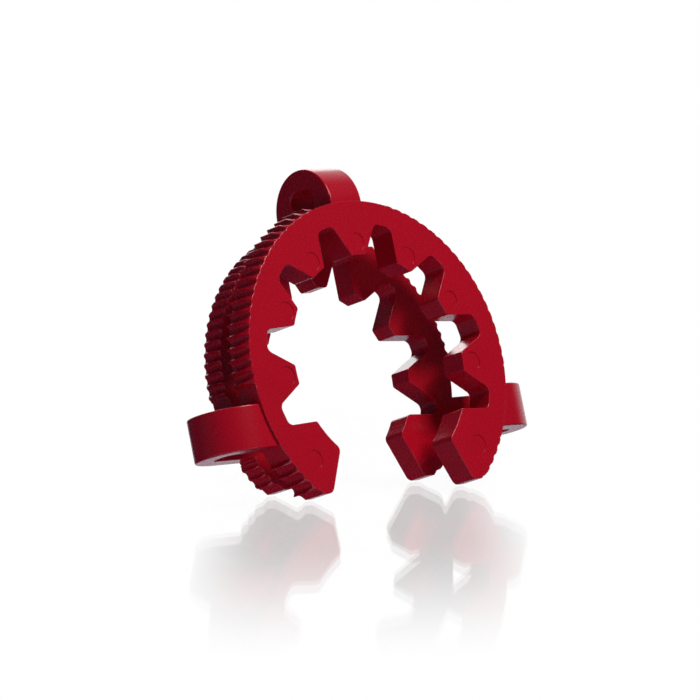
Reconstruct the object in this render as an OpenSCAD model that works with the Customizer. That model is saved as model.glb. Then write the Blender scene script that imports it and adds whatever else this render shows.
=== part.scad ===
// Spring clip that holds a ground glass joint together. Millimetres, +Z up.
// Two toothed rings face each other across a gap, and three bowed loops join them.
// The clip stands on its four feet, so it leans back a little, with the wide ring in front (-Y).

/* [Rings] */
// Radius inside the front ring's teeth, which go over the socket
front_bore_r = 17; // [15.5:0.1:18.5]
// Radius inside the rear ring's teeth, which go round the neck of the cone
rear_bore_r = 14.2; // [13:0.1:15.6]
// Gap between the rings, which takes the two collars of the joint
gap_t = 5.2; // [4:0.1:6.5]
// Thickness of the front ring
front_t = 4.7; // [4:0.1:5.6]
// Thickness of the rear ring
rear_t = 4.1; // [3.4:0.1:5]
// Width of the front ring's band, from the tooth roots to the crests of its grip
front_band_w = 4.25; // [3.4:0.05:5.5]
// Width of the rear ring's band, from the tooth roots to the crests of its grip
rear_band_w = 4.05; // [3.2:0.05:5]

/* [Teeth] */
// Number of teeth between the two feet
teeth = 7; // [5:2:7]
// Angle from one tooth to the next
tooth_pitch = 31; // [29:0.5:31]
// Angle between each side of a tooth gap and the middle of the gap
gap_side_a = 15.5; // [12:0.5:17]
// Length of the front teeth
front_tooth_l = 5.05; // [3.5:0.05:6]
// Length of the rear teeth
rear_tooth_l = 5.55; // [3.5:0.05:6]
// Width of a front tooth gap at its bottom
front_root_w = 3.28; // [2.4:0.02:3.6]
// Width of a rear tooth gap at its bottom
rear_root_w = 2.42; // [2.2:0.02:2.8]
// Corner radius at the bottom of a tooth gap
root_round = 1.15; // [0.4:0.05:1.3]
// Corner radius at a tooth's tip
tip_round = 0.5; // [0.2:0.05:0.7]
// How much closer each rear foot comes to the tooth above it
rear_foot_rise = 0.25; // [0:0.05:0.3]
// Corner radius at the top of a rear foot
rear_foot_round = 1; // [0.2:0.1:1.2]

/* [Feet] */
// Width of the front ring's mouth where it is narrowest
front_mouth_w = 22.5; // [20:0.1:25]
// Width of the rear ring's mouth where it is narrowest
rear_mouth_w = 20.5; // [19:0.1:22.5]
// Slope of the mouth's sides, from the horizontal
mouth_a = 65; // [58:1:72]
// Height of the front feet, from the mouth's narrowest place to the soles
front_foot_h = 6.7; // [5:0.1:7.5]
// Height of the rear feet, from the mouth's narrowest place to the soles
rear_foot_h = 6.95; // [5:0.05:7.5]
// Corner radius where the mouth meets the ring
lip_round = 1; // [0.4:0.1:1.4]
// Corner radius at the inner edge of a sole
sole_round = 1.2; // [0.4:0.1:1.6]
// Depth of the front feet's outer side below the crests
front_toe_drop = 1; // [0.9:0.05:1.6]
// Depth of the rear feet's outer side below the crests
rear_toe_drop = 0.95; // [0.8:0.05:1.8]

/* [Grip] */
// Angle from one flute to the next
flute_pitch = 4.14; // [3.8:0.02:4.2]
// Number of flutes above each side loop
upper_flutes = 20; // [12:1:20]
// Number of flutes below each side loop on the front ring
front_lower_flutes = 5; // [3:1:5]
// Number of flutes below each side loop on the rear ring
rear_lower_flutes = 4; // [3:1:4]
// Angle from the top to the first upper flute
upper_start_a = 16.2; // [15:0.1:18]
// Angle from the top to the first lower flute
lower_start_a = 121.2; // [120:0.1:122]
// Depth of the front flutes above the side loops
front_flute_d = 0.82; // [0.4:0.02:0.86]
// Depth of the front flutes below the side loops
front_lower_flute_d = 0.88; // [0.4:0.02:0.88]
// Depth of the rear flutes
rear_flute_d = 0.7; // [0.4:0.05:0.75]
// Width of the crest left between two flutes
crest_w = 0.15; // [0.1:0.05:0.4]
// Depth of the front ring's smooth rim below the crests
front_pad_drop = 0.75; // [0.6:0.05:1]
// Depth of the rear ring's smooth rim below the crests
rear_pad_drop = 0.9; // [0.6:0.05:1]
// Height of the bevel on the front ring's crests, inwards from the rim
front_bevel_w = 0.7; // [0.4:0.05:0.8]
// Depth of the bevel on the front ring's crests, back from the face
front_bevel_d = 1.7; // [0.8:0.1:2.4]
// Height of the bevels on the rear ring's crests, inwards from the rim
rear_bevel_w = 0.4; // [0.2:0.05:0.7]
// Depth of the bevels on the rear ring's crests, in from both of its faces
rear_bevel_d = 1; // [0.5:0.1:2]

/* [Loops] */
// Width of the top loop
top_loop_w = 6.2; // [4:0.1:7.5]
// Width of each side loop
side_loop_w = 6.8; // [4:0.1:7.2]
// Distance of the side loops' middle below the centre of the rings
side_loop_drop = 8.1; // [7.6:0.1:8.8]
// Rise of the top loop above the front ring's crests
top_loop_rise = 6; // [5:0.1:8]
// Reach of the side loops beyond the front ring's crests
side_loop_rise = 5.8; // [5:0.1:8]
// Thickness of a loop at its apex
loop_wall = 3.3; // [2:0.1:4]
// Corner radius inside a loop
loop_round = 1.5; // [0.5:0.1:1.9]
// Step from the front face back to the loops
loop_setback = 0.5; // [0.2:0.1:1.5]

/* [Hidden] */
$fn = 96;

// Depths, from the front face back
rear_y = front_t + gap_t;
depth = rear_y + rear_t;

// Radii: tooth roots, then the crests of the grip
front_root_r = front_bore_r + front_tooth_l;
rear_root_r = rear_bore_r + rear_tooth_l;
front_crest_r = front_root_r + front_band_w;
rear_crest_r = rear_root_r + rear_band_w;

// Heights of the mouth's narrowest place and of the soles, below the centre of the rings
front_lip_z = sqrt(pow(front_bore_r, 2) - pow(front_mouth_w / 2, 2));
rear_lip_z = sqrt(pow(rear_bore_r, 2) - pow(rear_mouth_w / 2, 2));
front_sole_z = front_lip_z + front_foot_h;
rear_sole_z = rear_lip_z + rear_foot_h;

// A loop's bow is a half circle across the clip, from the setback to the rear face
bow_r = (depth - loop_setback) / 2;
bow_y = loop_setback + bow_r;
top_apex = front_crest_r + top_loop_rise;
side_apex = front_crest_r + side_loop_rise;

// The clip stands on the rear edges of its front soles and of its rear soles
lean = atan((front_sole_z - rear_sole_z) / (depth - front_t));
lift = front_t * sin(lean) + front_sole_z * cos(lean);
// The rearmost and foremost places when it leans, which centre it on the origin
back_reach = bow_y * cos(lean) + (top_apex - bow_r) * sin(lean) + bow_r;
front_reach = -front_sole_z * sin(lean);

// How far a cut runs past the faces that it opens
past = 1;
// How far a rounding cut reaches from the middle of its round, as a share of its radius
over = 1.3;
// How far a round laps over the sides that it blends into, so that it crosses them cleanly
lap = 0.002;

// 2D shapes: x to the right, y up the ring, centre of the ring at the origin

module both_sides() {
    children();
    mirror([1, 0]) children();
}

// Slice of a disc, from angle a0 to angle a1 from the top, on the right
module slice(r, a0, a1) {
    intersection() {
        circle(r);
        polygon(concat([[0, 0]], [for (k = [0:4]) let (a = a0 + (a1 - a0) * k / 4)
            2 * r * [sin(a), cos(a)]]));
    }
}

// Flutes of one group, as round grooves that leave a narrow crest between two of them
module flutes(crest_r, flute_d, start_a, count) {
    half_w = crest_r * sin(flute_pitch / 2) - crest_w / 2;
    groove_r = (pow(half_w, 2) + pow(flute_d, 2)) / (2 * flute_d);
    for (k = [0:count - 1])
        rotate(-(start_a + k * flute_pitch)) translate([0, crest_r - flute_d + groove_r]) circle(groove_r);
}

// Outline of a ring, solid inside: smooth rim, two groups of flutes a side, and the feet's sides.
// The smooth rim ends under the lower flutes.
module ring_outline(crest_r, pad_r, toe_r, flute_d, lower_flute_d, lower_flutes) {
    upper_end_a = upper_start_a + (upper_flutes - 1) * flute_pitch;
    lower_end_a = lower_start_a + (lower_flutes - 1) * flute_pitch;
    difference() {
        union() {
            circle(toe_r);
            both_sides() {
                slice(pad_r, -1, (lower_start_a + lower_end_a) / 2);
                slice(crest_r, upper_start_a, upper_end_a);
                slice(crest_r, lower_start_a, lower_end_a);
            }
        }
        both_sides() {
            flutes(crest_r, flute_d, upper_start_a, upper_flutes);
            flutes(crest_r, lower_flute_d, lower_start_a, lower_flutes);
        }
    }
}

// What rounds a corner between the bore and a straight side. The side passes through p and
// runs towards the bore at angle a above -x, with the solid on its right.
module corner_at_bore(p, a, bore_r, r) {
    along = [-cos(a), sin(a)];
    into = [sin(a), cos(a)];
    q = p + r * into;
    b = q * along;
    c = q + (-b - sqrt(b * b - q * q + pow(bore_r + r, 2))) * along;
    difference() {
        polygon([c, c - over * r * into, c + over * r * (along - into), c - over * r * c / norm(c)]);
        translate(c) circle(r + lap);
    }
}

// Middle of the round at the bottom of a tooth gap, on the side that is half_w from its axis
function root_centre(root_r, half_w) =
    [root_r - root_round, half_w - root_round * (1 - sin(gap_side_a)) / cos(gap_side_a)];

// That side of the gap, from the bore out to its bottom
function gap_side(inner_x, root_r, half_w) = let (c = root_centre(root_r, half_w))
    [[inner_x, half_w + (root_r - inner_x) * tan(gap_side_a)],
        c + root_round * [sin(gap_side_a), cos(gap_side_a)], c + [root_round, 0]];

// Gap between two teeth, along +x, with its bottom at root_r. What lies below it, a tooth or a foot,
// comes rise into it and has the corner radius low_round.
module tooth_gap(bore_r, root_r, root_w, rise, low_round) {
    low_w = root_w / 2 - rise;
    inner_x = bore_r * cos(tooth_pitch / 2) - past;
    low = gap_side(inner_x, root_r, low_w);
    polygon(concat(gap_side(inner_x, root_r, root_w / 2), [for (k = [2:-1:0]) [low[k][0], -low[k][1]]]));
    translate(root_centre(root_r, root_w / 2)) circle(root_round + lap);
    mirror([0, 1]) translate(root_centre(root_r, low_w)) circle(root_round + lap);
    corner_at_bore([root_r, root_w / 2], gap_side_a, bore_r, tip_round);
    mirror([0, 1]) corner_at_bore([root_r, low_w], gap_side_a, bore_r, low_round);
}

// Everything open inside a ring: the bore, the tooth gaps, the mouth, and all below the soles.
// The feet come foot_rise into the gaps above them, and have their own corner radius there.
module opening(bore_r, root_r, root_w, mouth_w, lip_z, sole_z, foot_rise, foot_round) {
    circle(bore_r);
    both_sides() {
        rotate(90 - tooth_pitch * teeth / 2) tooth_gap(bore_r, root_r, root_w, foot_rise, foot_round);
        for (k = [1:(teeth - 1) / 2]) rotate(90 + (k - teeth / 2) * tooth_pitch)
            tooth_gap(bore_r, root_r, root_w, 0, tip_round);
    }

    // The mouth widens from the lips down past the soles
    low_z = sole_z + past;
    low_x = mouth_w / 2 + (low_z - lip_z) / tan(mouth_a);
    polygon([[-mouth_w / 2, -lip_z], [mouth_w / 2, -lip_z], [low_x, -low_z], [-low_x, -low_z]]);
    translate([-2 * root_r, -sole_z - 2 * root_r]) square([4 * root_r, 2 * root_r]);

    // Rounded lips and rounded inner edges of the soles
    sole_x = mouth_w / 2 + (sole_z - lip_z) / tan(mouth_a);
    c = [sole_x + sole_round * (1 - cos(mouth_a)) / sin(mouth_a), sole_round - sole_z];
    both_sides() {
        corner_at_bore([mouth_w / 2, -lip_z], mouth_a, bore_r, lip_round);
        difference() {
            polygon([c, c - over * sole_round * [sin(mouth_a), cos(mouth_a)],
                c + over * ([sole_x, -sole_z] - c), c - [0, over * sole_round]]);
            translate(c) circle(sole_round + lap);
        }
    }
}

// 3D shapes: front face at y = 0, centre of the rings on the Y axis

// Stands a 2D shape up, from depth y0 back to depth y1
module stood(y0, y1) {
    translate([0, y1, 0]) rotate([90, 0, 0]) linear_extrude(y1 - y0) children();
}

// Bevel round a ring's crests: w high at the face and d deep behind it
module bevel(crest_r, w, d) {
    rotate([-90, 0, 0]) rotate_extrude()
        polygon([[crest_r - w * (1 + past / d), -past], [crest_r + w * past / d, d + past],
            [crest_r + 2 * past, d + past], [crest_r + 2 * past, -past]]);
}

// Loop over the gap, upwards, with its legs running down into the rings
module spring_loop(w, apex) {
    foot_z = rear_bore_r;
    hole_z = apex - loop_wall;
    rotate([90, 0, 90]) linear_extrude(w, center = true) difference() {
        union() {
            translate([bow_y, apex - bow_r]) circle(bow_r);
            translate([loop_setback, foot_z]) square([2 * bow_r, apex - bow_r - foot_z]);
        }
        translate([front_t, foot_z - past]) square([gap_t, hole_z - loop_round - foot_z + past]);
        translate([front_t + loop_round, hole_z - 2 * loop_round])
            square([gap_t - 2 * loop_round, 2 * loop_round]);
        for (y = [front_t + loop_round, rear_y - loop_round])
            translate([y, hole_z - loop_round]) circle(loop_round);
    }
}

module clip() {
    color("firebrick")
    translate([0, -(back_reach + front_reach) / 2, lift]) rotate([-lean, 0, 0])
    difference() {
        union() {
            difference() {
                stood(0, front_t) ring_outline(front_crest_r, front_crest_r - front_pad_drop,
                    front_crest_r - front_toe_drop, front_flute_d, front_lower_flute_d,
                    front_lower_flutes);
                bevel(front_crest_r, front_bevel_w, front_bevel_d);
            }
            difference() {
                stood(rear_y, depth) ring_outline(rear_crest_r, rear_crest_r - rear_pad_drop,
                    rear_crest_r - rear_toe_drop, rear_flute_d, rear_flute_d, rear_lower_flutes);
                translate([0, rear_y, 0]) bevel(rear_crest_r, rear_bevel_w, rear_bevel_d);
                translate([0, depth, 0]) mirror([0, 1, 0])
                    bevel(rear_crest_r, rear_bevel_w, rear_bevel_d);
            }
            spring_loop(top_loop_w, top_apex);
            for (s = [-1, 1]) translate([0, 0, -side_loop_drop]) rotate([0, s * 90, 0])
                spring_loop(side_loop_w, side_apex);
        }
        stood(-past, front_t + past)
            opening(front_bore_r, front_root_r, front_root_w, front_mouth_w, front_lip_z, front_sole_z,
                0, tip_round);
        stood(rear_y - past, depth + past)
            opening(rear_bore_r, rear_root_r, rear_root_w, rear_mouth_w, rear_lip_z, rear_sole_z,
                rear_foot_rise, rear_foot_round);
    }
}

clip();
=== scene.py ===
import math

import bpy
import bmesh
import numpy as np
from mathutils import Matrix, Vector


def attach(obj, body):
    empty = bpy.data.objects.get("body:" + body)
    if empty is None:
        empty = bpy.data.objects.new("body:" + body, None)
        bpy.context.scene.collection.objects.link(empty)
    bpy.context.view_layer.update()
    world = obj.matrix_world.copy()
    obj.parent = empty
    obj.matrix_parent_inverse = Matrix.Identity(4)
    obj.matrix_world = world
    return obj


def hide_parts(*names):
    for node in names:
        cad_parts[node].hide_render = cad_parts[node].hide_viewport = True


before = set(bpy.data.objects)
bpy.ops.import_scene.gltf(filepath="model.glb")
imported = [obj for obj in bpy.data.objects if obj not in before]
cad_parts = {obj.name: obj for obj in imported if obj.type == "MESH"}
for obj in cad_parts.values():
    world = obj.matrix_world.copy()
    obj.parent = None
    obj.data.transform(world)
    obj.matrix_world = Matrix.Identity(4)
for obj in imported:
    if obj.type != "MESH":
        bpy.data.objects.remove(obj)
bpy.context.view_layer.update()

# The clip's own axes, in millimetres: x across, y from the front face back, z up the rings, with
# the centre of the rings on the y axis. The shapes are made there, then leaned back onto the feet.

FRONT_T, GAP_T, REAR_T = 4.7, 5.2, 4.1
REAR_Y = FRONT_T + GAP_T
DEPTH = REAR_Y + REAR_T

# Each ring: radius inside the teeth, bottom of the tooth gaps, crests of the grip, smooth rim,
# sides of the feet, depth of the flutes above and below the side loops, number below, width of a
# tooth gap at its bottom and of the mouth, height of the feet, how far the feet come into the gaps
# above them, their corner radius there, and the bevels on the crests (how high, how deep, and
# whether the face towards the gap has one too)
FRONT = dict(bore=17.0, root=22.05, crest=26.3, pad=25.55, toe=25.3, flutes=(0.82, 0.88), lower=5,
             root_w=3.28, mouth_w=22.5, foot_h=6.7, foot_rise=0.0, foot_round=0.5, bevel_w=0.7,
             bevel_d=1.7, both_faces=False, thick=FRONT_T)
REAR = dict(bore=14.2, root=19.75, crest=23.8, pad=22.9, toe=22.85, flutes=(0.7, 0.7), lower=4,
            root_w=2.42, mouth_w=20.5, foot_h=6.95, foot_rise=0.25, foot_round=1.0, bevel_w=0.4,
            bevel_d=1.0, both_faces=True, thick=REAR_T)
for ring in (FRONT, REAR):
    ring["lip_z"] = math.sqrt(ring["bore"] ** 2 - (ring["mouth_w"] / 2) ** 2)
    ring["sole_z"] = ring["lip_z"] + ring["foot_h"]

TOOTH_PITCH = math.radians(31)
TEETH = 7
GAP_SIDE = math.radians(15.5)
MOUTH_SIDE = math.radians(65)
ROOT_ROUND, TIP_ROUND, LIP_ROUND, SOLE_ROUND = 1.15, 0.5, 1.0, 1.2
FLUTE_PITCH = math.radians(4.14)
UPPER_START, UPPER_COUNT = math.radians(16.2), 20
LOWER_START = math.radians(121.2)
CREST_W = 0.15

LOOP_SETBACK, LOOP_WALL, LOOP_ROUND = 0.5, 3.3, 1.5
BOW_R = (DEPTH - LOOP_SETBACK) / 2
BOW_Y = LOOP_SETBACK + BOW_R
TOP_APEX, SIDE_APEX = FRONT["crest"] + 6.0, FRONT["crest"] + 5.8
TOP_W, SIDE_W, SIDE_DROP = 6.2, 6.8, 8.1

RING_EDGE = 0.1  # radius of the worn mould edges on the rings
GAP_EDGE = RING_EDGE * 0.7  # the same on the faces towards the gap
BEVEL_CLEAR = 0.2  # least distance from a ring's edge round to the end of its bevel
LOOP_EDGE = 0.25  # radius of the edges along the loops

# How far out the loops' legs start, in the front ring and in the rear ring: inside the bands
TOP_LEGS, SIDE_LEGS = (22.6, 20.6), (22.25, 19.5)

# Pin marks: radius, distance from the rings' centre on the teeth, depth, and places on the feet
MARK_R, MARK_AT, MARK_DEPTH = 1.5, 19.0, 0.1
FOOT_MARKS = [[16.8, -14.1], [-16.8, -14.1]]
MARK_POINTS = 40

LEAN = math.atan((FRONT["sole_z"] - REAR["sole_z"]) / (DEPTH - FRONT_T))
LIFT = FRONT_T * math.sin(LEAN) + FRONT["sole_z"] * math.cos(LEAN)
BACK_REACH = BOW_Y * math.cos(LEAN) + (TOP_APEX - BOW_R) * math.sin(LEAN) + BOW_R
SHIFT = -(BACK_REACH - FRONT["sole_z"] * math.sin(LEAN)) / 2


# ---------------------------------------------------------------- outlines

def arc(centre, radius, a0, a1, n):
    """n + 1 points from angle a0 to a1: centre + radius * (cos a, sin a)."""
    a = np.linspace(a0, a1, n + 1)
    return np.c_[centre[0] + radius * np.cos(a), centre[1] + radius * np.sin(a)]


def rim_points(ring):
    """Right half of the rim, from the top clockwise to the sole, in polar form. Across a flute the
    radius is d cos(t) - sqrt(g^2 - d^2 sin^2(t)), where t is the angle from the flute's middle, g its
    groove's radius and d the distance of the groove's centre, and never more than the crest."""
    half_w = ring["crest"] * math.sin(FLUTE_PITCH / 2) - CREST_W / 2
    edge = math.asin(half_w / ring["crest"])
    one = np.r_[np.linspace(-edge, edge, 13), FLUTE_PITCH / 2]

    def group(start, count, deep):
        g = (half_w ** 2 + deep ** 2) / (2 * deep)
        d = ring["crest"] - deep + g
        t = (one[None, :] + FLUTE_PITCH * np.arange(count)[:, None]).ravel()
        t = t[(t >= 0) & (t <= FLUTE_PITCH * (count - 1) + 1e-9)]
        off = (t + FLUTE_PITCH / 2) % FLUTE_PITCH - FLUTE_PITCH / 2
        under = np.maximum(g ** 2 - (d * np.sin(off)) ** 2, 0)
        r = np.where(np.abs(off) <= edge + 1e-9, d * np.cos(off) - np.sqrt(under), ring["crest"])
        return np.c_[start + t, np.minimum(r, ring["crest"])]

    upper = group(UPPER_START, UPPER_COUNT, ring["flutes"][0])
    lower = group(LOWER_START, ring["lower"], ring["flutes"][1])
    end = math.pi - math.acos(ring["sole_z"] / ring["toe"])
    parts = [(np.linspace(0, UPPER_START, 14), ring["pad"]), upper,
             (np.linspace(upper[-1, 0], LOWER_START, 20), ring["pad"]), lower,
             (np.linspace(lower[-1, 0], end, 5), ring["toe"])]
    polar = np.vstack([p if isinstance(p, np.ndarray) else np.c_[p[0], np.full(len(p[0]), p[1])]
                       for p in parts])
    return np.c_[polar[:, 1] * np.sin(polar[:, 0]), polar[:, 1] * np.cos(polar[:, 0])]


def corner_centre(p, a, bore, r):
    """Centre of the round of radius r between the bore and a straight side. The side passes through
    p, runs towards the bore along (-cos a, sin a), and has the solid on its right."""
    along, into = np.array([-math.cos(a), math.sin(a)]), np.array([math.sin(a), math.cos(a)])
    q = p + r * into
    b = q @ along
    return q + (-b - math.sqrt(b * b - q @ q + (bore + r) ** 2)) * along


def gap_points(ring, axis, by_foot):
    """Outline of one tooth gap, from its clockwise tip corner to the other, along the angle axis.
    Each half of it, from the middle of the bottom: root round, straight side, tip round."""
    a = GAP_SIDE
    out = math.pi / 2 - a

    def half(half_w, r):
        root = np.array([ring["root"] - ROOT_ROUND, half_w - ROOT_ROUND * (1 - math.sin(a)) / math.cos(a)])
        tip = corner_centre(np.array([ring["root"], half_w]), a, ring["bore"], r)
        return np.vstack([arc(root, ROOT_ROUND, 0, out, 8),
                          arc(tip, r, math.pi + out, math.pi + math.atan2(tip[1], tip[0]), 5)])

    upper = half(ring["root_w"] / 2, TIP_ROUND)
    lower = half(ring["root_w"] / 2 - ring["foot_rise"], ring["foot_round"]) if by_foot else upper
    whole = np.vstack([lower[::-1] * [1, -1], upper])
    c, s = math.cos(axis), math.sin(axis)
    return whole @ np.array([[c, s], [-s, c]])


def ring_outline(ring):
    """Closed outline of a ring, clockwise: right rim, sole, mouth side, right teeth up to the top
    tooth, then all of it mirrored."""
    m = MOUTH_SIDE
    lip = corner_centre(np.array([ring["mouth_w"] / 2, -ring["lip_z"]]), m, ring["bore"], LIP_ROUND)
    sole_x = ring["mouth_w"] / 2 + ring["foot_h"] / math.tan(m)
    sole = np.array([sole_x + SOLE_ROUND * (1 - math.cos(m)) / math.sin(m),
                     SOLE_ROUND - ring["sole_z"]])
    side = 1.5 * math.pi - m
    parts = [rim_points(ring), arc(sole, SOLE_ROUND, 1.5 * math.pi, side, 8),
             arc(lip, LIP_ROUND, side, math.pi + math.atan2(lip[1], lip[0]), 8)]
    last = math.atan2(lip[1], lip[0])
    for k in range((TEETH + 1) // 2):
        gap = gap_points(ring, math.pi / 2 + (k - TEETH / 2) * TOOTH_PITCH, k == 0)
        first = math.atan2(gap[0, 1], gap[0, 0])
        parts.append(arc((0, 0), ring["bore"], last, first, 8)[1:-1])
        parts.append(gap)
        last = math.atan2(gap[-1, 1], gap[-1, 0])
    parts.append(arc((0, 0), ring["bore"], last, math.pi / 2, 4)[1:])
    right = np.vstack(parts)
    left = right[::-1][1:-1] * [-1, 1]
    return np.vstack([right, left])


def loop_outline(apex, front_foot, rear_foot):
    """Closed outline of a loop, clockwise in (y, outwards): a half circle over two legs, less the
    slot with two round corners. Each leg ends inside its ring."""
    hole = apex - LOOP_WALL
    tuck = 0.01  # keeps the legs' flat sides just inside the rings' faces
    bow = arc((BOW_Y, apex - BOW_R), BOW_R - tuck, math.pi, 0, 56)
    y0, y1 = FRONT_T - tuck, REAR_Y + tuck
    r = LOOP_ROUND
    return np.vstack([
        [[LOOP_SETBACK + tuck, front_foot]], bow, [[DEPTH - tuck, rear_foot], [y1, rear_foot]],
        arc((y1 - r, hole - r), r, 0, math.pi / 2, 8), arc((y0 + r, hole - r), r, math.pi / 2, math.pi, 8),
        [[y0, front_foot]]])


# ---------------------------------------------------------------- solids

def inset(outline, d):
    """The outline moved inwards by d: each point goes along its corner's bisector, by
    d / cos(half the turn), but never more than twice d. The outline runs clockwise."""
    e = np.roll(outline, -1, 0) - outline
    e /= np.linalg.norm(e, axis=1, keepdims=True)
    n = np.c_[e[:, 1], -e[:, 0]]
    both = n + np.roll(n, 1, 0)
    both /= np.maximum((both ** 2).sum(1, keepdims=True) / 2, 0.5)
    return outline + d * both


def sweep(rings):
    """Closed mesh through a stack of outlines, each an (n, 3) array, with a cap at each end."""
    n = len(rings[0])
    verts = np.vstack(rings)
    i = np.arange(n)
    j = (i + 1) % n
    faces = []
    for k in range(len(rings) - 1):
        a, b = k * n, (k + 1) * n
        faces += np.c_[a + i, a + j, b + j, b + i].tolist()
    faces.append(i[::-1].tolist())
    faces.append(((len(rings) - 1) * n + i).tolist())
    return verts, faces


def edge_round(r):
    """(depth, inset) of four stations over a quarter round of radius r: r (1 - cos t), r (1 - sin t)."""
    t = np.radians([0, 30, 60, 90])
    return list(zip(r * (1 - np.cos(t)), r * (1 - np.sin(t))))


def ring_solid(ring):
    """A ring from its outer face at y = 0 to the face towards the gap. On the crests the radius stays
    under a cone, face_r + y * bevel_w / bevel_d, with y from the nearest bevelled face, and the cone
    ends where the flute's wall meets it."""
    outline = ring_outline(ring)
    r = np.linalg.norm(outline, axis=1)
    face_r = ring["crest"] - ring["bevel_w"]
    slope = ring["bevel_w"] / ring["bevel_d"]

    def station(y, d):
        cap = face_r + slope * (min(y, ring["thick"] - y) if ring["both_faces"] else y)
        held = outline * np.where(r > cap, cap / np.maximum(r, 1e-9), 1)[:, None]
        p = inset(held, d)
        return np.c_[p[:, 0], np.full(len(p), y), p[:, 1]]

    rings = [station(y, d) for y, d in edge_round(RING_EDGE)]
    meet = np.maximum((r - face_r) / slope, RING_EDGE + BEVEL_CLEAR)
    rings.append(np.c_[outline[:, 0], meet, outline[:, 1]])
    if ring["both_faces"]:
        rings.append(np.c_[outline[:, 0], ring["thick"] - meet, outline[:, 1]])
    rings += [station(ring["thick"] - y, d) for y, d in edge_round(GAP_EDGE)[::-1]]
    return sweep(rings)


def loop_solid(width, apex, front_foot, rear_foot):
    """A loop across x, with its long edges rounded."""
    outline = loop_outline(apex, front_foot, rear_foot)
    half = width / 2
    stations = [(-half + x, d) for x, d in edge_round(LOOP_EDGE)]
    stations += [(-x, d) for x, d in stations[::-1]]
    rings = []
    for x, d in stations:
        p = inset(outline, d)
        rings.append(np.c_[np.full(len(p), x), p])
    return sweep(rings)


def mesh_object(name, verts, faces):
    """Object from vertices and faces, with its normals turned outwards."""
    mesh = bpy.data.meshes.new(name)
    mesh.from_pydata(np.asarray(verts).tolist(), [], faces)
    bm = bmesh.new()
    bm.from_mesh(mesh)
    bmesh.ops.remove_doubles(bm, verts=bm.verts, dist=1e-4)
    bmesh.ops.recalc_face_normals(bm, faces=bm.faces)
    bm.to_mesh(mesh)
    bm.free()
    obj = bpy.data.objects.new(name, mesh)
    bpy.context.scene.collection.objects.link(obj)
    return obj


def combine(base, other, operation):
    """Applies one boolean to base and removes the other solid."""
    mod = base.modifiers.new("combine", "BOOLEAN")
    mod.operation, mod.object, mod.solver = operation, other, "EXACT"
    dg = bpy.context.evaluated_depsgraph_get()
    done = bpy.data.meshes.new_from_object(base.evaluated_get(dg))
    base.modifiers.clear()
    base.data = done
    bpy.data.objects.remove(other)


# ---------------------------------------------------------------- the clip

def clip_mesh():
    """Both rings and the three loops as one moulding, with the shallow round marks that the mould's
    pins leave on the front face."""
    verts, faces = ring_solid(FRONT)
    clip = mesh_object("clip_moulding", verts, faces)

    verts, faces = ring_solid(REAR)
    verts[:, 1] = DEPTH - verts[:, 1]
    combine(clip, mesh_object("rear_ring", verts, faces), "UNION")

    verts, faces = loop_solid(TOP_W, TOP_APEX, *TOP_LEGS)
    combine(clip, mesh_object("top_loop", verts, faces), "UNION")
    for side in (-1, 1):
        verts, faces = loop_solid(SIDE_W, SIDE_APEX, *SIDE_LEGS)
        turned = np.c_[side * verts[:, 2], verts[:, 1], -side * verts[:, 0] - SIDE_DROP]
        combine(clip, mesh_object("side_loop", turned, faces), "UNION")

    # Pin marks: shallow discs on the middle line of each tooth and on the feet
    angles = np.pi / 2 + TOOTH_PITCH * np.arange(-3, 4)
    places = np.vstack([MARK_AT * np.c_[np.cos(angles), np.sin(angles)], FOOT_MARKS])
    for x, z in places:
        disc = arc((x, z), MARK_R, 2 * math.pi, 0, MARK_POINTS)[:-1]
        stack = [np.c_[disc[:, 0], np.full(MARK_POINTS, y), disc[:, 1]] for y in (-1.0, MARK_DEPTH)]
        combine(clip, mesh_object("pin_mark", *sweep(stack)), "DIFFERENCE")
    return clip


def lean_onto_feet(obj):
    """Turns the clip back about x by the lean, lifts it onto its feet, and goes to metres."""
    place = Matrix.Translation((0, SHIFT, LIFT)) @ Matrix.Rotation(-LEAN, 4, "X")
    obj.data.transform(Matrix.Scale(0.001, 4) @ place)


def finish_shading(obj, limit=35):
    """Smooth faces, with edges over the limit kept sharp."""
    bm = bmesh.new()
    bm.from_mesh(obj.data)
    bmesh.ops.dissolve_degenerate(bm, dist=1e-6, edges=bm.edges)
    for f in bm.faces:
        f.smooth = True
    for e in bm.edges:
        e.smooth = len(e.link_faces) == 2 and e.calc_face_angle() < math.radians(limit)
    bm.to_mesh(obj.data)
    bm.free()
    mod = obj.modifiers.new("face_weights", "WEIGHTED_NORMAL")
    mod.keep_sharp = True
    mod.weight = 100


# ---------------------------------------------------------------- materials

def linear(hex_colour):
    """sRGB hex to linear RGBA."""
    v = [int(hex_colour[i:i + 2], 16) / 255 for i in (1, 3, 5)]
    return tuple(c / 12.92 if c <= 0.04045 else ((c + 0.055) / 1.055) ** 2.4 for c in v) + (1.0,)


def add(tree, kind, settings=None, **inputs):
    """Adds a node. settings are its attributes; inputs are values, or sockets to link from. An input
    named i0, i1 and so on goes by its place."""
    node = tree.nodes.new(kind)
    for key, value in (settings or {}).items():
        setattr(node, key, value)
    for key, value in inputs.items():
        if key[0] == "i" and key[1:].isdigit():
            socket = node.inputs[int(key[1:])]
        else:
            socket = node.inputs[key.replace("_", " ")]
        if isinstance(value, bpy.types.NodeSocket):
            tree.links.new(value, socket)
        else:
            socket.default_value = value
    return node


def new_material(name):
    mat = bpy.data.materials.new(name)
    mat.use_nodes = True
    mat.node_tree.nodes.clear()
    return mat, mat.node_tree


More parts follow.
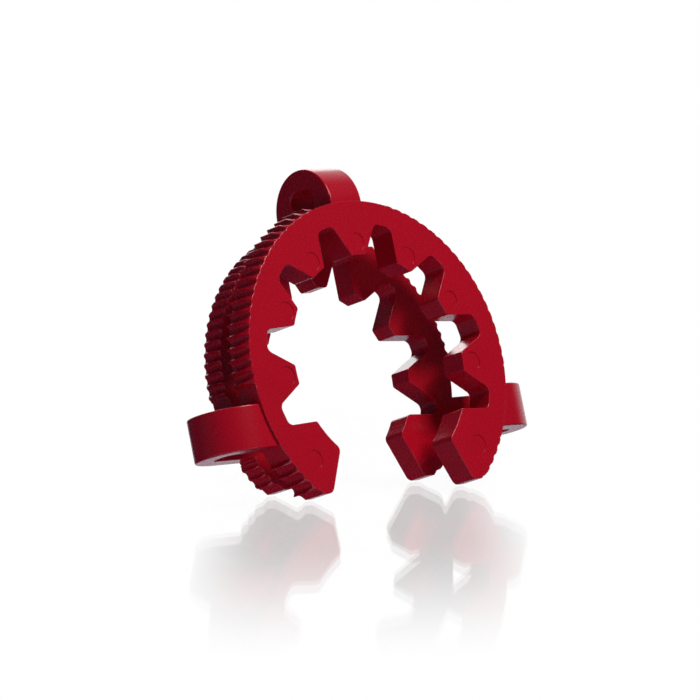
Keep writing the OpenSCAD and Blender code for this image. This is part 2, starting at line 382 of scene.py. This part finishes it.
def moulded_acetal():
    """Acetal (POM), injection moulded in solid red against a finely eroded steel mould. That gives
    the eye a deep even red with a soft waxy gloss and a very fine, low grain."""
    mat, t = new_material("moulded_acetal_red")
    at = add(t, "ShaderNodeTexCoord").outputs["Object"]
    # Pigment clouds about 8 mm across, from the flow of the melt
    clouds = add(t, "ShaderNodeTexNoise", Vector=at, Scale=125.0, Detail=3.0, Roughness=0.5)
    colour = add(t, "ShaderNodeMix", {"data_type": "RGBA"}, i0=clouds.outputs["Fac"],
                 i6=linear("#A4051A"), i7=linear("#AE071C"))
    # Eroded mould grain is about 0.05 mm; drawn at 0.25 mm, the finest that shows
    grain = add(t, "ShaderNodeTexNoise", Vector=at, Scale=4000.0, Detail=2.0, Roughness=0.6)
    # Slow waves of sink and flow, about 5 mm
    waves = add(t, "ShaderNodeTexNoise", Vector=at, Scale=200.0, Detail=1.0)
    rough = add(t, "ShaderNodeMapRange", Value=grain.outputs["Fac"], i1=0.3, i2=0.7, i3=0.22, i4=0.30)
    fine = add(t, "ShaderNodeBump", Height=grain.outputs["Fac"], Strength=0.12, Distance=0.00002)
    bump = add(t, "ShaderNodeBump", Height=waves.outputs["Fac"], Strength=0.5, Distance=0.00006,
               Normal=fine.outputs["Normal"])
    shader = add(t, "ShaderNodeBsdfPrincipled", Base_Color=colour.outputs[2], IOR=1.48,
                 Roughness=rough.outputs["Result"], Normal=bump.outputs["Normal"],
                 Subsurface_Weight=0.08, Subsurface_Scale=0.0006)
    shader.inputs["Subsurface Radius"].default_value = (1.0, 0.25, 0.15)
    add(t, "ShaderNodeOutputMaterial", Surface=shader.outputs[0])
    return mat


def fading(tree, at, along, start, end, low, high):
    """A level that runs smoothly from low to high while the place or direction at goes from start to
    end in the direction along."""
    reach = add(tree, "ShaderNodeVectorMath", {"operation": "DOT_PRODUCT"}, i0=at, i1=along)
    return add(tree, "ShaderNodeMapRange", {"interpolation_type": "SMOOTHSTEP"}, Value=reach.outputs["Value"],
               i1=start, i2=end, i3=low, i4=high).outputs["Result"]


# The bench mirrors along a band of fixed direction: across it, its middle, and where it starts to
# fade and ends, to either side and away from the clip, in metres
BAND_ACROSS, BAND_MIDDLE = (0.752, -0.660, 0.0), 0.002
BAND_FULL, BAND_END = 0.013, 0.027
MIRROR_FULL, MIRROR_END = 0.059, 0.194


def near_share(tree, most):
    """A share that is the most under the clip, and fades to none away from it and across the band."""
    at = add(tree, "ShaderNodeTexCoord").outputs["Object"]
    away = add(tree, "ShaderNodeVectorMath", {"operation": "LENGTH"}, i0=at)
    across = add(tree, "ShaderNodeVectorMath", {"operation": "DOT_PRODUCT"}, i0=at, i1=BAND_ACROSS)
    aside = add(tree, "ShaderNodeMath", {"operation": "SUBTRACT"}, i0=across.outputs["Value"],
                i1=BAND_MIDDLE)
    aside = add(tree, "ShaderNodeMath", {"operation": "ABSOLUTE"}, i0=aside.outputs[0])
    along = add(tree, "ShaderNodeMapRange", {"interpolation_type": "SMOOTHSTEP"}, Value=away.outputs["Value"],
                i1=MIRROR_FULL, i2=MIRROR_END, i3=most, i4=0.0)
    wide = add(tree, "ShaderNodeMapRange", {"interpolation_type": "SMOOTHSTEP"}, Value=aside.outputs[0],
               i1=BAND_FULL, i2=BAND_END, i3=1.0, i4=0.0)
    return add(tree, "ShaderNodeMath", {"operation": "MULTIPLY"}, i0=along.outputs["Result"],
               i1=wide.outputs["Result"]).outputs[0]


def screen_side(tree, way):
    """How far the screen reaches in a level direction: full behind the clip, fading to the right, and
    none on the left."""
    edge = fading(tree, way, (0.927, -0.375, 0.0), -0.10, 0.10, 0.0, 1.0)
    spread = fading(tree, way, (0.643, 0.766, 0.0), 0.30, 0.97, 0.0, 1.0)
    return add(tree, "ShaderNodeMath", {"operation": "MULTIPLY"}, i0=edge, i1=spread).outputs[0]


def shown_share(tree, level):
    """1 for the eye's own rays, level for rays off glossy and through clear surfaces, 0 for others."""
    path = add(tree, "ShaderNodeLightPath").outputs
    shiny = add(tree, "ShaderNodeMath", {"operation": "MAXIMUM"}, i0=path["Is Glossy Ray"],
                i1=path["Is Transmission Ray"])
    held = add(tree, "ShaderNodeMath", {"operation": "MULTIPLY"}, i0=shiny.outputs[0], i1=level)
    return add(tree, "ShaderNodeMath", {"operation": "MAXIMUM"}, i0=path["Is Camera Ray"],
               i1=held.outputs[0]).outputs[0]


def bench_white():
    """White bottom of the bench's glossy layers: white for the eye, with a trace of the clip's shadow and a
    mirror image of the clip. Glossy and clear surfaces see it white too, where it is well behind the
    clip, under the screen. All other rays go on through it, to the light level of the room."""
    mat, t = new_material("bench_white")
    white = add(t, "ShaderNodeEmission", Color=linear("#FFFFFF"), Strength=1.0)
    plain = add(t, "ShaderNodeBsdfDiffuse", Color=linear("#FFFFFF"))
    mirror = add(t, "ShaderNodeBsdfGlossy", Color=linear("#FFFFFF"), Roughness=0.02)
    seen = add(t, "ShaderNodeMixShader", i0=near_share(t, 0.05), i1=white.outputs[0], i2=plain.outputs[0])
    glossy = add(t, "ShaderNodeMixShader", i0=near_share(t, 0.20), i1=seen.outputs[0], i2=mirror.outputs[0])
    clear = add(t, "ShaderNodeBsdfTransparent")
    at = add(t, "ShaderNodeTexCoord").outputs["Object"]
    way = add(t, "ShaderNodeVectorMath", {"operation": "NORMALIZE"}, i0=at).outputs["Vector"]
    far = fading(t, at, (0.643, 0.766, 0.0), 0.03, 0.20, 0.0, 1.0)
    behind = add(t, "ShaderNodeMath", {"operation": "MULTIPLY"}, i0=screen_side(t, way), i1=far)
    lit = add(t, "ShaderNodeMixShader", i0=shown_share(t, behind.outputs[0]), i1=clear.outputs[0],
              i2=glossy.outputs[0])
    add(t, "ShaderNodeOutputMaterial", Surface=lit.outputs[0])
    return mat


def bench_film():
    """Clear film on which the clip stands. Its only work is that light which the bench mirrors has
    gone through something clear, so that the studio can tell it from light that the clip mirrors."""
    mat, t = new_material("bench_film")
    clear = add(t, "ShaderNodeBsdfTransparent")
    add(t, "ShaderNodeOutputMaterial", Surface=clear.outputs[0])
    return mat


def bench_gloss(name, most):
    """Clear glossy layer of the bench, with a faint mirror image of its own. Only the eye sees it."""
    mat, t = new_material(name)
    clear = add(t, "ShaderNodeBsdfTransparent")
    mirror = add(t, "ShaderNodeBsdfGlossy", Color=linear("#FFFFFF"), Roughness=0.02)
    path = add(t, "ShaderNodeLightPath")
    share = add(t, "ShaderNodeMath", {"operation": "MULTIPLY"}, i0=near_share(t, most),
                i1=path.outputs["Is Camera Ray"])
    lit = add(t, "ShaderNodeMixShader", i0=share.outputs[0], i1=clear.outputs[0], i2=mirror.outputs[0])
    add(t, "ShaderNodeOutputMaterial", Surface=lit.outputs[0])
    return mat


# ---------------------------------------------------------------- stage, camera and light

AZIMUTH, ELEVATION, ROLL = math.radians(-41.27), math.radians(4.37), math.radians(-0.53)
TARGET = Vector((0.00018, -0.00048, 0.02146))
DISTANCE = 0.7872


def place_camera():
    back = Vector((math.sin(AZIMUTH) * math.cos(ELEVATION), -math.cos(AZIMUTH) * math.cos(ELEVATION),
                   math.sin(ELEVATION)))
    camera = bpy.data.objects.new("camera", bpy.data.cameras.new("camera"))
    bpy.context.scene.collection.objects.link(camera)
    camera.data.sensor_width, camera.data.lens = 36.0, 262.2
    turn = (-back).to_track_quat("-Z", "Y").to_matrix().to_4x4() @ Matrix.Rotation(ROLL, 4, "Z")
    camera.matrix_world = Matrix.Translation(TARGET + back * DISTANCE) @ turn
    camera.data.clip_start, camera.data.clip_end = 0.05, 20
    bpy.context.scene.camera = camera


def bench():
    """A clear film, on which the clip stands, over two glossy layers and a white one. Each gives a
    mirror image of its own, so together the images start softly under the feet."""
    s = 6.0
    layers = (("bench_film", 0.0, bench_film()),
              ("bench_top", -0.0001, bench_gloss("bench_gloss_top", 0.12)),
              ("bench_middle", -0.00042, bench_gloss("bench_gloss_middle", 0.19)),
              ("bench_under", -0.00105, bench_white()))
    for name, z, material in layers:
        mesh = bpy.data.meshes.new(name)
        mesh.from_pydata([(-s, -s, z), (s, -s, z), (s, s, z), (-s, s, z)], [], [(0, 1, 2, 3)])
        obj = bpy.data.objects.new(name, mesh)
        bpy.context.scene.collection.objects.link(obj)
        obj.data.materials.append(material)


def softbox(name, direction, distance, size, power, colour="#FFFFFF"):
    """Square lamp that looks at the clip from a direction."""
    data = bpy.data.lights.new(name, "AREA")
    data.size, data.energy, data.color = size, power, linear(colour)[:3]
    lamp = bpy.data.objects.new(name, data)
    bpy.context.scene.collection.objects.link(lamp)
    d = Vector(direction).normalized()
    lamp.matrix_world = (Matrix.Translation(Vector((0, 0, 0.025)) + d * distance)
                         @ d.to_track_quat("Z", "Y").to_matrix().to_4x4())


def studio():
    """Dim room with a white screen behind the clip, which fades out to the right, and a pale table in
    front of the bench. The eye sees plain white all round, and so do the bench's mirror image, which
    is the first glossy bounce after the clear film, and other glossy and clear surfaces where the
    screen is."""
    world = bpy.data.worlds.new("studio")
    world.use_nodes = True
    bpy.context.scene.world = world
    t = world.node_tree
    t.nodes.clear()
    way = add(t, "ShaderNodeTexCoord").outputs["Generated"]
    top = fading(t, way, (0.0, 0.0, 1.0), -0.70, -0.05, 0.0, 1.0)
    screen = add(t, "ShaderNodeMath", {"operation": "MULTIPLY"}, i0=screen_side(t, way), i1=top).outputs[0]
    front = fading(t, way, (-0.7, -0.7, 0.0), -0.10, 0.60, 0.0, 1.0)
    below = fading(t, way, (0.0, 0.0, -1.0), 0.0, 0.30, 0.0, 1.0)
    level = add(t, "ShaderNodeMath", {"operation": "MULTIPLY_ADD"}, i0=front, i1=below, i2=screen)
    pale = add(t, "ShaderNodeBackground", Color=linear("#E6D9FF"), Strength=level.outputs[0])
    dim = add(t, "ShaderNodeBackground", Color=linear("#AEBCFF"), Strength=0.07)
    room = add(t, "ShaderNodeAddShader", i0=pale.outputs[0], i1=dim.outputs[0])
    white = add(t, "ShaderNodeBackground", Color=linear("#FFFFFF"), Strength=1.0)

    path = add(t, "ShaderNodeLightPath").outputs
    past_film = add(t, "ShaderNodeMath", {"operation": "GREATER_THAN"}, i0=path["Transparent Depth"], i1=0.5)
    first = add(t, "ShaderNodeMath", {"operation": "LESS_THAN"}, i0=path["Glossy Depth"], i1=1.5)
    up = fading(t, way, (0.0, 0.0, 1.0), -0.01, 0.01, 0.0, 1.0)
    in_bench = add(t, "ShaderNodeMath", {"operation": "MULTIPLY"}, i0=past_film.outputs[0],
                   i1=first.outputs[0])
    in_bench = add(t, "ShaderNodeMath", {"operation": "MULTIPLY"}, i0=in_bench.outputs[0], i1=up)
    plain = add(t, "ShaderNodeMath", {"operation": "MAXIMUM"}, i0=in_bench.outputs[0], i1=screen)
    mix = add(t, "ShaderNodeMixShader", i0=shown_share(t, plain.outputs[0]), i1=room.outputs[0],
              i2=white.outputs[0])
    add(t, "ShaderNodeOutputWorld", Surface=mix.outputs[0])


clip = clip_mesh()
lean_onto_feet(clip)
finish_shading(clip)
clip.data.materials.clear()
clip.data.materials.append(moulded_acetal())
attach(clip, "root")
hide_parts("clip")

place_camera()
bench()
studio()
softbox("key", (0.104, -0.572, 0.814), 0.9, 0.33, 8.0)
softbox("back", (0.45, 0.80, 0.40), 0.9, 0.5, 1.3)

bpy.context.scene.view_settings.view_transform = "Standard"
